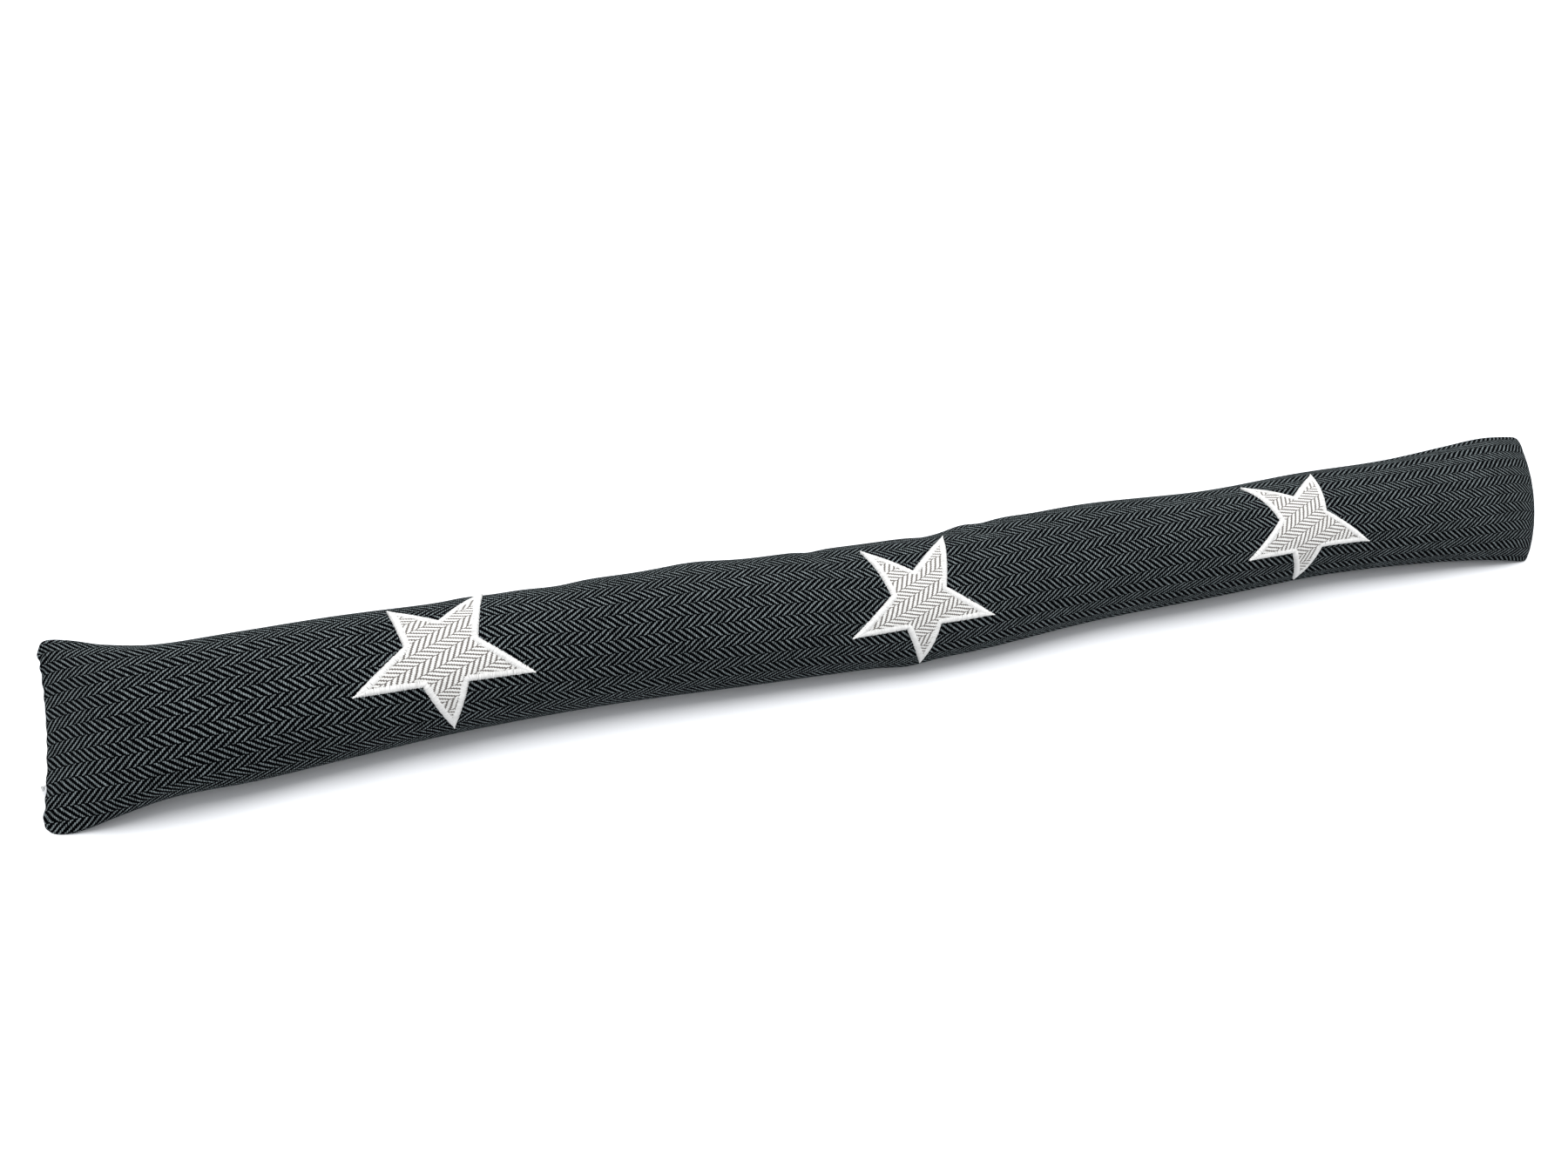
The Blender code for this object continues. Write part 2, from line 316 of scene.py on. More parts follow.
# %% [markdown]
# ## The cover's mesh
#
# The cover is one length of cloth, folded and sewn into a tube. Its long seam is at the back, low
# down. The mesh is a loft of rings with one quad strip closing each end, and it is laid out like
# the cloth, so each corner's UV is a real place on the cloth in metres. The weave then keeps its
# scale and rolls over the edges with the surface.
#
# Cloth on a filled bag never lies quite straight. Another table says how it lies here: how far its
# bands have slid up or down the front, how far the yarns that run round the bag lean, and how much
# longer it is pulled, which is most at the right.
#
# At each end the two layers meet in a seam. Two more rings turn inwards there, for its groove.

# %% Loft the cover
AROUND_STEPS = 72
ALONG_STEP = 4.0                    # mm between rings on the plain part of the bag
END_STEPS = (0, 1, 2.2, 3.8, 6, 9, 12.5)    # mm from an end seam to each closer ring
SEAM_ANGLE = 330                    # degrees around the bag to the long seam
FRONT_ANGLE = 90                    # degrees around the bag to the line that bands count from
GROOVES = ((0.45, 0.5), (0.12, 1.6))    # share of the last ring's thickness, and mm inwards
GROOVE_STEP = 0.8                   # mm of cloth from one ring of a groove to the next


def ring_places():
    """Where the rings stand along the bag: close together at the ends."""
    first, last = SECTIONS[0].x, SECTIONS[-1].x
    left = [first + distance for distance in END_STEPS]
    right = [last - distance for distance in reversed(END_STEPS)]
    steps = round((right[0] - left[-1]) / ALONG_STEP)
    middle = np.linspace(left[-1], right[0], steps + 1)[1:-1]
    return np.concatenate((left, middle, right))


def point_at(angle):
    """The number of a ring's point at an angle around the bag."""
    return (angle - SEAM_ANGLE) % 360 * AROUND_STEPS // 360


BACK_EDGE = point_at(0)


def partner(index):
    """The point of a ring that faces this one across the flat end seam."""
    return (2 * BACK_EDGE - index) % AROUND_STEPS


def seam_line(ring):
    """The line where the two layers of a flat end meet, at each of its ring's points."""
    return (ring + ring[[partner(index) for index in range(AROUND_STEPS)]]) / 2


def seam_groove(ring, share, inwards):
    """The last ring drawn together towards its seam line and pushed into the bag."""
    line = seam_line(ring)
    return line + (ring - line) * share + np.array([inwards, 0, 0])


places = ring_places()
angles = np.radians(SEAM_ANGLE + 360 * np.arange(AROUND_STEPS) / AROUND_STEPS)
plain_rings = bag_rings(places[:, None], angles[None, :])
left_grooves = [seam_groove(plain_rings[0], share, depth) for share, depth in reversed(GROOVES)]
right_grooves = [seam_groove(plain_rings[-1], share, -depth) for share, depth in GROOVES]
rings = np.concatenate((left_grooves, plain_rings, right_grooves))
print(len(rings), "rings of", AROUND_STEPS, "points")


# %% Lay the cloth's own measure on the rings
# Where along the bag, how far in mm a band's edge lies up the cloth from the front line, how many
# degrees the yarns that run round the bag lean to the right, and how much longer the cloth is.
Lie = namedtuple("Lie", "x line lean pull")
LIES = [
    Lie(-458, 5.5, 3, 1.1),
    Lie(-420, 2, 4, 1.04),
    Lie(-400, 1, 5, 1),
    Lie(-350, 2.7, 4, 1),
    Lie(-300, 0, 5, 1),
    Lie(-240, -1.5, 8, 1),
    Lie(-200, -6.2, 7, 1),
    Lie(-140, -4.1, 8, 1),
    Lie(-80, -4.7, 8, 1),
    Lie(-50, -7.9, 8, 1.01),
    Lie(40, -7.2, 8, 1.02),
    Lie(90, -9, 9, 1.05),
    Lie(180, -6.5, 8, 1.08),
    Lie(280, -7.8, 4, 1.14),
    Lie(350, -4.4, 0, 1.18),
    Lie(450, -1.5, -8, 1.22),
]


def lengths_so_far(points, axis=0):
    """How far from the first point each one lies, along the line through them."""
    steps = np.linalg.norm(np.diff(points, axis=axis), axis=-1)
    return np.insert(np.cumsum(steps, axis=axis), 0, 0, axis=axis)


def with_grooves(values, step=0.0):
    """Values of the plain rings, carried on to the rings of the two grooves."""
    before = [values[0] - step * (count + 1) for count in reversed(range(len(GROOVES)))]
    after = [values[-1] + step * (count + 1) for count in range(len(GROOVES))]
    return np.concatenate((before, values, after))


line_x = plain_rings[:, :, 0].mean(axis=1)
ring_steps = np.linalg.norm(np.diff(plain_rings, axis=0), axis=2).mean(axis=1)
along_bag = with_grooves(np.insert(np.cumsum(ring_steps), 0, 0), GROOVE_STEP)
pull = table_value((line_x[1:] + line_x[:-1]) / 2, "pull", LIES)
along_cloth = with_grooves(np.insert(np.cumsum(ring_steps / pull), 0, 0), GROOVE_STEP)
closed_rings = np.concatenate((plain_rings, plain_rings[:, :1]), axis=1)
around_bag = with_grooves(lengths_so_far(closed_rings, axis=1))
front = point_at(FRONT_ANGLE)
up_bag = around_bag[:, front][:, None] - around_bag
lean = with_grooves(np.tan(np.radians(table_value(line_x, "lean", LIES))))[:, None]
line = with_grooves(table_value(line_x, "line", LIES))[:, None]
cloth_u = along_cloth[:, None] - lean * up_bag
cloth_v = up_bag - line
print("cloth length, mm:", round(float(along_cloth[-1]), 1),
      "girth at the middle, mm:", round(float(around_bag[len(rings) // 2, -1]), 1))


# %% Build the cover's mesh
def end_faces(first):
    """Faces across a flat end, from the ring whose first point has this number."""
    faces = []
    for index in range(BACK_EDGE, BACK_EDGE + AROUND_STEPS // 2):
        corners = (index, index + 1, partner(index + 1), partner(index))
        faces.append(list(dict.fromkeys(first + corner % AROUND_STEPS for corner in corners)))
    return faces


def lofted_mesh(name, rings):
    """A closed mesh through the rings, with the cloth's own measure as its UV map."""
    count = len(rings)
    faces = []
    cloth = []
    for row in range(count - 1):
        for column in range(AROUND_STEPS):
            after = (column + 1) % AROUND_STEPS
            faces.append([
                row * AROUND_STEPS + column, row * AROUND_STEPS + after,
                (row + 1) * AROUND_STEPS + after, (row + 1) * AROUND_STEPS + column,
            ])
            for ring, side in ((row, 0), (row, 1), (row + 1, 1), (row + 1, 0)):
                cloth.append((cloth_u[ring][column + side], cloth_v[ring][column + side]))
    for row in (0, count - 1):
        for face in end_faces(row * AROUND_STEPS):
            faces.append(face)
            for corner in face:
                number = corner % AROUND_STEPS
                cloth.append((cloth_u[row][number], cloth_v[row][number]))
    mesh = bpy.data.meshes.new(name)
    mesh.from_pydata((rings.reshape(-1, 3) + TO_FRAME) * MM, [], faces)
    layer = mesh.uv_layers.new(name="cloth")
    layer.data.foreach_set("uv", np.array(cloth, np.float32).ravel() * MM)
    if signed_volume(mesh) < 0:
        mesh.flip_normals()
    mesh.validate()
    return mesh


def signed_volume(mesh):
    """The volume inside a closed mesh, less than nothing where its faces point inwards."""
    form = bmesh.new()
    form.from_mesh(mesh)
    volume = form.calc_volume(signed=True)
    form.free()
    return volume


cover = add_object("cover_cloth", lofted_mesh("cover_cloth", rings))
print("cover:", round(signed_volume(cover.data) * 1000, 2), "litres")

# %% [markdown]
# ## Filling the bag
#
# Filled cloth is never as smooth as a loft. Blender's cloth solver blows the bag up with a little
# pressure while its end seams are held, which draws soft puckers in from the seams. The table
# above already holds the filled form, so the broad swelling that the solver adds is mostly taken
# off again: what is kept is the difference between the solved bag and a smoothed copy of it. A
# cap keeps every point close to the loft, and the floor takes what would sink below it.

# %% Blow the bag up
SOLVER_FRAMES = 20
SOLVER = {
    "quality": 6, "mass": 0.25, "tension_stiffness": 12, "compression_stiffness": 12,
    "shear_stiffness": 4, "bending_stiffness": 0.3, "use_pressure": True,
    "uniform_pressure_force": 4.0,
}
HELD_RINGS = 3                      # rings at each end, grooves included, that don't move
SMOOTH_STEPS = 60                   # passes that make the smoothed copy
SWELLING_KEPT = 0.12                # share of the broad swelling that stays
CAP = 2.5                           # mm that a point may move at most


def mesh_points(mesh):
    """Where a mesh's points are."""
    points = np.empty(len(mesh.vertices) * 3)
    mesh.vertices.foreach_get("co", points)
    return points.reshape(-1, 3)


def solved_points(bag, held):
    """The bag's points in mm after the cloth solver has blown it up."""
    group = bag.vertex_groups.new(name="held")
    group.add(held, 1.0, "REPLACE")
    cloth = bag.modifiers.new("filling", "CLOTH")
    for name, value in SOLVER.items():
        setattr(cloth.settings, name, value)
    cloth.settings.vertex_group_mass = group.name
    cloth.settings.effector_weights.gravity = 0
    cloth.point_cache.frame_end = SOLVER_FRAMES
    for number in range(1, SOLVER_FRAMES + 1):
        bpy.context.scene.frame_set(number)
    solved = bag.evaluated_get(bpy.context.evaluated_depsgraph_get())
    points = mesh_points(solved.data) / MM
    bag.modifiers.remove(cloth)
    bag.vertex_groups.remove(group)
    bpy.context.scene.frame_set(1)
    return points


def smoothed(field, passes):
    """A field over the rings, averaged with its neighbours along and around, many times."""
    for _ in range(passes):
        ahead = np.concatenate((field[1:], field[-1:]))
        behind = np.concatenate((field[:1], field[:-1]))
        sides = np.roll(field, 1, axis=1) + np.roll(field, -1, axis=1)
        field = (2 * field + ahead + behind + sides) / 6
    return field


def filled_rings(bag, rings):
    """The rings after filling: the solver's puckers on the table's form."""
    count = len(rings)
    held = [
        ring * AROUND_STEPS + point
        for ring in (*range(HELD_RINGS), *range(count - HELD_RINGS, count))
        for point in range(AROUND_STEPS)
    ]
    moved = solved_points(bag, held).reshape(rings.shape) - rings - TO_FRAME
    broad = smoothed(moved, SMOOTH_STEPS)
    kept = (moved - broad) + SWELLING_KEPT * broad
    length = np.linalg.norm(kept, axis=2, keepdims=True)
    kept *= np.minimum(1, CAP / np.maximum(length, TINY))
    print("solver moved, mm: most", round(float(np.abs(moved).max()), 2),
          "kept", round(float(np.minimum(length, CAP).max()), 2),
          "mean kept", round(float(length.mean()), 3))
    return rings + kept


rings = filled_rings(cover, rings)

# %% [markdown]
# The stitches of an end seam draw the cloth up a little, so small puckers stand behind it and its
# edge is slightly scalloped, more at the left than at the right. The puckers are 8 mm apart,
# uneven, and die away within a couple of centimetres. The long seam at the back lies in a shallow
# groove of its own.

# %% Puckers and the long seam's groove
PUCKER_SPACING = 8.3                # mm
PUCKER_WANDERS = ((1.3, 13.7, 3), (0.8, 5.9, 1))    # radians, mm for each, share of the phase
LEFT_PUCKER, RIGHT_PUCKER = 1.6, 0.6    # mm, from trough to ridge
SCALLOP = 0.4                       # mm that a seam's edge swings, for each mm of pucker
SCALLOP_REACH = 5.0                 # mm along the bag over which that swing dies away
PUCKER_START = 1.6                  # mm from an end to where its puckers begin
PUCKER_RISE = 2.5                   # mm over which they reach their full height
PUCKER_REACH = 11.0                 # mm over which they die away
SEAM_DEPTH = 1.1                    # mm, the long seam's groove
SEAM_REACH = 2.6                    # mm from the seam to where the groove fades

# Each end: its ring, how far each ring is from it, its puckers' height and their wave's phase. At
# the right the distance counts from the bottom of the groove.
ENDS = (
    (0, along_bag, LEFT_PUCKER, 0.4),
    (-1, along_bag[-1] - along_bag, RIGHT_PUCKER, 2.1),
)


def ring_normals(rings):
    """Outward directions at the rings' points, from the rings' own differences."""
    ahead = np.concatenate((rings[1:], rings[-1:])) - np.concatenate((rings[:1], rings[:-1]))
    sides = np.roll(rings, -1, axis=1) - np.roll(rings, 1, axis=1)
    normals = np.cross(sides, ahead)
    return normals / np.maximum(np.linalg.norm(normals, axis=2, keepdims=True), TINY)


def pucker_wave(measure, phase):
    """Uneven waves, from -1 to 1, over a measure in mm."""
    wander = sum(
        size * np.sin(measure / reach + share * phase) for size, reach, share in PUCKER_WANDERS
    )
    return np.sin(2 * math.pi * measure / PUCKER_SPACING + wander)


def scalloped(rings):
    """The rings with both layers of each end seam swung out and in together along it."""
    moved = rings.copy()
    for end, from_end, height, phase in ENDS:
        back = rings[end].mean(axis=0) - rings[end]
        across = np.hypot(back[:, 1], back[:, 2]) * np.sign(back[:, 1])
        fade = np.exp(-(from_end / SCALLOP_REACH) ** 2)[:, None]
        moved[:, :, 0] += SCALLOP * height * pucker_wave(across, phase) * fade
    return moved


def seam_shaping(rings):
    """The rings with their end puckers and the groove of the long seam."""
    around = around_bag[:, :-1]
    from_seam = np.minimum(around, around_bag[:, -1:] - around)
    shape = -SEAM_DEPTH * np.exp(-(from_seam / SEAM_REACH) ** 2)
    for _, from_end, height, phase in ENDS:
        past = (from_end - PUCKER_START)[:, None]
        fade = np.exp(-(past / PUCKER_REACH) ** 2) * np.clip(past / PUCKER_RISE, 0, 1)
        shape += height / 2 * pucker_wave(around, phase) * fade
    shape[:len(GROOVES)] = 0
    shape[-len(GROOVES):] = 0
    return rings + ring_normals(rings) * shape[:, :, None]


def on_the_floor(points):
    """The points with nothing below the floor."""
    settled = points.copy()
    settled[..., 2] = np.maximum(settled[..., 2], 0)
    return settled


rings = on_the_floor(scalloped(seam_shaping(rings)))
left_edge = rings[0, :, 0]
print("left seam, mm along the bag:", round(float(left_edge.min()), 1), "to",
      round(float(left_edge.max()), 1))


# %% Subdivide the cover
def plain_mesh(piece):
    """Turns a piece's modifiers into plain mesh."""
    depsgraph = bpy.context.evaluated_depsgraph_get()
    mesh = bpy.data.meshes.new_from_object(piece.evaluated_get(depsgraph))
    piece.modifiers.clear()
    piece.data = mesh
    return mesh


cover.data = lofted_mesh("cover_cloth", rings)
smooth = cover.modifiers.new("smooth", "SUBSURF")
smooth.levels = 1
smooth.render_levels = 1
plain_mesh(cover)
# Smoothing has pushed a few points under the floor: they come back up to it.
cover.data.vertices.foreach_set("co", on_the_floor(mesh_points(cover.data)).ravel())
cover.data.update()
cover.data.shade_smooth()
print("cover:", 2 * len(cover.data.polygons), "triangles")

# %% [markdown]
# ## Cloth in shader nodes
#
# A herringbone is a 2/2 twill whose slant turns round every eight yarns. Each pale yarn, running
# round the bag, passes over two dark ones and under two, one step further along on each next
# yarn. Two numbers say where a point is in the weave: `round yarns`, counted along the bag, and
# `long yarns`, counted around it. A yarn's float is an arch along its own length and a half
# cylinder across it, and at each point the higher of the two yarns shows. Where the slant turns
# round, the pattern breaks: each diagonal of one band meets a gap of the next.
#
# The same weave serves the cover and the stars, in other colours and sizes, so it is a group. It
# puts out masks and heights, and the colours stay in each material. A sum that nodes work out is
# written as a sum here, and each sign in it adds a Math node.

# %% Sums that nodes work out
class Value:
    """What a node puts out, for use in sums."""

    def __init__(self, socket):
        self.socket = socket
        self.tree = socket.id_data

    def __add__(self, other):
        return calc("ADD", self, other)

    def __radd__(self, other):
        return calc("ADD", other, self)

    def __sub__(self, other):
        return calc("SUBTRACT", self, other)

    def __rsub__(self, other):
        return calc("SUBTRACT", other, self)

    def __mul__(self, other):
        return calc("MULTIPLY", self, other)

    def __truediv__(self, other):
        return calc("DIVIDE", self, other)

    def __mod__(self, other):
        return calc("FLOORED_MODULO", self, other)

    def feeds(self, socket):
        """Joins the value to an input."""
        self.tree.links.new(self.socket, socket)


def calc(operation, *values):
    """A Math node's result; each value is a number or another node's, and one at least is that."""
    tree = next(value.tree for value in values if isinstance(value, Value))
    return output(tree, "ShaderNodeMath", dict(enumerate(values)), operation=operation)


# %% Helpers for nodes
def add_node(tree, kind, inputs=None, **settings):
    """Adds a node, and joins each of its inputs to a value or sets it."""
    made = tree.nodes.new(kind)
    for name, setting in settings.items():
        setattr(made, name, setting)
    for name, value in (inputs or {}).items():
        if isinstance(value, Value):
            value.feeds(made.inputs[name])
        else:
            made.inputs[name].default_value = value
    return made


def output(tree, kind, inputs=None, which=0, **settings):
    """Adds a node for one of its outputs."""
    return Value(add_node(tree, kind, inputs, **settings).outputs[which])


def outputs(tree, kind, inputs=None, **settings):
    """Adds a node for all its outputs, by name."""
    made = add_node(tree, kind, inputs, **settings)
    return {socket.name: Value(socket) for socket in made.outputs}


def new_group(kind, name, inputs, results):
    """A group with inputs and results of these kinds: its tree, what it is given, its results."""
    tree = bpy.data.node_groups.new(name, kind)
    for direction, sockets in (("INPUT", inputs), ("OUTPUT", results)):
        for label, socket_kind in sockets.items():
            tree.interface.new_socket(
                name=label, in_out=direction, socket_type="NodeSocket" + socket_kind
            )
    return tree, outputs(tree, "NodeGroupInput"), tree.nodes.new("NodeGroupOutput").inputs


def around_zero(value, amount):
    """A value from 0 to 1 moved to either side of 0, times an amount."""
    return (value - 0.5) * amount


def blended(share, low, high, mode="MIX"):
    """A colour between two colours, or one times the other."""
    inputs = {0: share, 6: low, 7: high}
    return output(
        high.tree, "ShaderNodeMix", inputs, which=2, data_type="RGBA", blend_type=mode
    )


def noise_value(vector, scale, detail=2.0, roughness=0.5):
    """The grey value of a Noise Texture."""
    inputs = {"Vector": vector, "Scale": scale, "Detail": detail, "Roughness": roughness}
    return output(vector.tree, "ShaderNodeTexNoise", inputs)


# %% The herringbone group
TWILL = 4.0                         # yarns in one repeat of the weave: two over, two under
DRIFT = (90.0, 110.0)               # how often to the metre the yarns wander, along and around
DRIFT_SHIFT = (0.31, 0.17, 0.0)     # metres between the two wanderings, so that they differ
FIBRE_TWIST = (5.0, 2.4, 1.3)       # streaks across a round yarn, their twist, and along it
BAND_BREAK = 2.5                    # how quickly a float ends at a band's edge
VALLEY = 0.38                       # height of the cloth between the floats of long yarns
PALE_SHOWS = (-0.08, 0.22)          # how far a pale yarn stands out as it begins to show, and fully
WEAVE_SIZES = (
    "Round Yarn Spacing", "Long Yarn Spacing", "Band Yarns", "Round Yarn Width",
    "Long Yarn Width", "Long Yarn Height", "Float Half Length", "Tilt", "Unevenness",
    "Hairiness", "Wander",
)
WEAVE_MASKS = ("Pale", "Height", "Yarn", "Fleck", "Fibre")


def herringbone_group():
    """Where the pale and dark yarns lie, how high they stand, and what makes each one differ."""
    tree, given, result = new_group(
        "ShaderNodeTree", "herringbone", {"Cloth": "Vector", **dict.fromkeys(WEAVE_SIZES, "Float")},
        dict.fromkeys(WEAVE_MASKS, "Float"),
    )

    def chance(*numbers):
        """Random values that stay the same for the same whole numbers."""
        place = output(tree, "ShaderNodeCombineXYZ", dict(enumerate(numbers)))
        return outputs(tree, "ShaderNodeTexWhiteNoise", {"Vector": place})

    def bulge(offset, half_size):
        """1 in the middle and 0 at both edges and beyond, round between them."""
        share = offset / half_size
        return calc("SQRT", calc("MAXIMUM", 1.0 - share * share, 0.0))

    # Yarns are counted along the bag by u and around it by v, and wander a little.
    place = outputs(tree, "ShaderNodeSeparateXYZ", {0: given["Cloth"]})
    apart = {0: given["Cloth"], 1: DRIFT_SHIFT}
    shifted = output(tree, "ShaderNodeVectorMath", apart, operation="ADD")
    counts = []
    for axis, spacing, source, scale in (
        ("X", given["Round Yarn Spacing"], given["Cloth"], DRIFT[0]),
        ("Y", given["Long Yarn Spacing"], shifted, DRIFT[1]),
    ):
        drift = noise_value(source, scale, detail=4.0, roughness=0.7)
        counts.append(place[axis] / spacing + around_zero(drift, given["Wander"]))
    u, v = counts
    round_yarn = calc("FLOOR", u)
    long_yarn = calc("FLOOR", v)
    band = calc("FLOOR", v / given["Band Yarns"])
    odd = band % 2.0
    slant = 1.0 - odd * 2.0
    # The pale float: 1 to 3 along it where it is on top, and under from 3 round to 1. At a band's
    # edge the floats swap places with the gaps between them, which gives the clean break there.
    pale_run = round_yarn + (slant * v + odd * 2.0) + 1.0
    pale_place = pale_run % TWILL - 2.0
    dark_place = (u + (slant * long_yarn + odd)) % TWILL - 3.0

    # Each yarn and each float has a shade of its own, and each float a width and a lean.
    yarn = chance(round_yarn, 0.5, odd)["Value"]
    own = chance(round_yarn, calc("FLOOR", pale_run / TWILL), band)
    parts = outputs(tree, "ShaderNodeSeparateColor", {0: own["Color"]})
    own_tilt, own_place, own_width = (
        around_zero(parts[part], given["Unevenness"]) for part in ("Red", "Green", "Blue")
    )
    # Fibres streak along the twisted yarn and stand up at the edges of a float.
    twist = u * FIBRE_TWIST[0] + v * FIBRE_TWIST[1]
    twisted = output(tree, "ShaderNodeCombineXYZ", {0: twist, 1: v * FIBRE_TWIST[2]})
    fibre = noise_value(twisted, 1.0, detail=3.0, roughness=0.65)

    # How high the pale yarn stands, then the dark one, and which of them shows.
    leaning = (given["Tilt"] + own_tilt) * pale_place
    across = calc("FRACT", u) - 0.5 + leaning + own_place
    half_width = given["Round Yarn Width"] * (own_width + 0.5)
    to_edge = calc("PINGPONG", v, given["Band Yarns"] / 2.0)
    fall = calc("SQRT", calc("MINIMUM", to_edge * BAND_BREAK, 1.0))
    along = bulge(pale_place, given["Float Half Length"])
    pale_height = bulge(across, half_width) * along * fall
    across_dark = bulge(calc("FRACT", v) - 0.5, given["Long Yarn Width"] * 0.5)
    dark_height = across_dark * bulge(dark_place, 1.0) * (1 - VALLEY)
    dark_height = (dark_height + VALLEY) * given["Long Yarn Height"]
    lead = pale_height - dark_height + around_zero(fibre, given["Hairiness"])
    shows = {"Value": lead, "From Min": PALE_SHOWS[0], "From Max": PALE_SHOWS[1]}
    pale = output(tree, "ShaderNodeMapRange", shows, interpolation_type="SMOOTHSTEP")
    height = calc("MAXIMUM", pale_height, dark_height)

    for label, mask in zip(WEAVE_MASKS, (pale, height, yarn, own["Value"], fibre)):
        mask.feeds(result[label])
    return tree


HERRINGBONE = herringbone_group()
print("herringbone group:", len(HERRINGBONE.nodes), "nodes")

# %% [markdown]
# Nothing made of cloth is one even shade. Handling rubs some areas paler, dust settles, and the
# dye takes unevenly. This group gives two slow variations, one of centimetres and one of
# millimetres, which every material here mixes into its colours by a little.

# %% The uneven shade group
BROAD_SCALE = 22.0                  # patches of a few centimetres
FINE_SCALE = 420.0                  # specks of a few millimetres


def uneven_shade_group():
    """A broad and a fine change of shade, together around one."""
    tree, given, result = new_group(
        "ShaderNodeTree", "uneven shade",
        {"Place": "Vector", "Broad Change": "Float", "Fine Change": "Float"}, {"Shade": "Float"},
    )
    shade = 1.0
    for label, scale in (("Broad Change", BROAD_SCALE), ("Fine Change", FINE_SCALE)):
        shade = shade + around_zero(noise_value(given["Place"], scale, detail=3.0), given[label])
    shade.feeds(result["Shade"])
    return tree


UNEVEN_SHADE = uneven_shade_group()
print("uneven shade group:", len(UNEVEN_SHADE.nodes), "nodes")


# %% Shade and relief of a finish
def uneven_shade(place, broad, fine):
    """The shade at a place, with changes of these sizes."""
    inputs = {"Place": place, "Broad Change": broad, "Fine Change": fine}
    return output(place.tree, "ShaderNodeGroup", inputs, node_tree=UNEVEN_SHADE)


def shaded(colour, shade):
    """A colour made lighter or darker by a value around one."""
    grey = output(shade.tree, "ShaderNodeCombineColor", {0: shade, 1: shade, 2: shade})
    return blended(1.0, colour, grey, "MULTIPLY")


def join_bump(surface, height, distance, strength):
    """Joins a height to a surface through a Bump node."""
    inputs = {"Height": height, "Distance": distance, "Strength": strength}
    output(height.tree, "ShaderNodeBump", inputs).feeds(surface.inputs["Normal"])


# %% [markdown]
# A herringbone's finish needs its two yarns. The shade of each is a level plus a share of each
# mask, so that a yarn can differ from float to float, or be painted paler on its crown as painted
# shading of its arch. The cover's pale yarn is a cool grey and its dark one is nearly black. The
# dark yarns are thick and lie close, so most of what shows is dark and the pale yarn shows as
# short dashes.

# %% A finish of two yarns
SOFT = {"Specular IOR Level": 0.25, "Sheen Roughness": 0.45}
WEAVE_RELIEF = 0.28                 # mm from the cloth's valleys to its crowns
WEAVE_BUMP = 0.8                    # share of that relief that the light shows
Yarn = namedtuple("Yarn", "colour level shares")


def yarn_shade(masks, yarn):
    """A level plus a share of each mask."""
    shade = yarn.level
    for label, share in yarn.shares.items():
        shade = masks[label] * share + shade
    return shade


def herringbone_finish(name, values, weave, change, pale, dark, fibre_relief):
    """A herringbone of two yarns, with its broad and fine change of shade."""
    finish, tree, surface = new_finish(name, {**SOFT, **values})
    cloth = output(tree, "ShaderNodeUVMap", uv_map="cloth")
    masks = outputs(tree, "ShaderNodeGroup", {"Cloth": cloth, **weave}, node_tree=HERRINGBONE)
    place = output(tree, "ShaderNodeTexCoord", which="Object")
    pale_colour = shaded(pale.colour, yarn_shade(masks, pale) * uneven_shade(place, *change))
    dark_colour = shaded(dark.colour, yarn_shade(masks, dark))
    blended(masks["Pale"], dark_colour, pale_colour).feeds(surface.inputs["Base Color"])
    relief = masks["Fibre"] * fibre_relief + masks["Height"]
    join_bump(surface, relief, WEAVE_RELIEF * MM, WEAVE_BUMP)
    return finish


# %% The cover's finish
# The pale yarn's share of Height is painted shading: each float is painted paler on its crown.
PALE_GREY = Yarn(
    (0.084, 0.097, 0.1, 1), -0.5, {"Fleck": 0.55, "Fibre": 0.9, "Yarn": 0.2, "Height": 0.9}
)
NEAR_BLACK = Yarn((0.0004, 0.0005, 0.0008, 1), 0.4, {"Fibre": 1.2})

cover_finish = herringbone_finish(
    "cover_herringbone",
    {"Roughness": 0.95, "Specular IOR Level": 0.004},
    {
        "Round Yarn Spacing": 0.000967, "Long Yarn Spacing": 0.00078, "Band Yarns": 8.0,
        "Round Yarn Width": 0.82, "Long Yarn Width": 1.05, "Long Yarn Height": 1.0,
        "Float Half Length": 1.06, "Tilt": 0.15, "Unevenness": 0.18, "Hairiness": 0.6,
        "Wander": 1.3,
    },
    change=(0.35, 0.3), pale=PALE_GREY, dark=NEAR_BLACK, fibre_relief=0.25,
)


def give_finish(piece, finish):
    """Makes a finish the only one of a piece."""
    piece.data.materials.clear()
    piece.data.materials.append(finish)


give_finish(cover, cover_finish)
print("cover finish:", len(cover_finish.node_tree.nodes), "nodes")

# %% [markdown]
# ## The stars
#
# Each star is cut from a second cloth, an off-white herringbone with thin grey-brown lines, laid
# on the cover and fixed all round with a wide satin stitch. The three differ a little, as pieces
# cut by hand do, and as the photograph shows: every arm has its own length and direction.
#
# A star is drawn flat, in millimetres to the right and up the cloth, and then laid on the bag:
# each of its points goes along the bag by the one and up the bag's surface by the other. The
# nearest place on the finished cover is then found, so that the star follows every pucker.

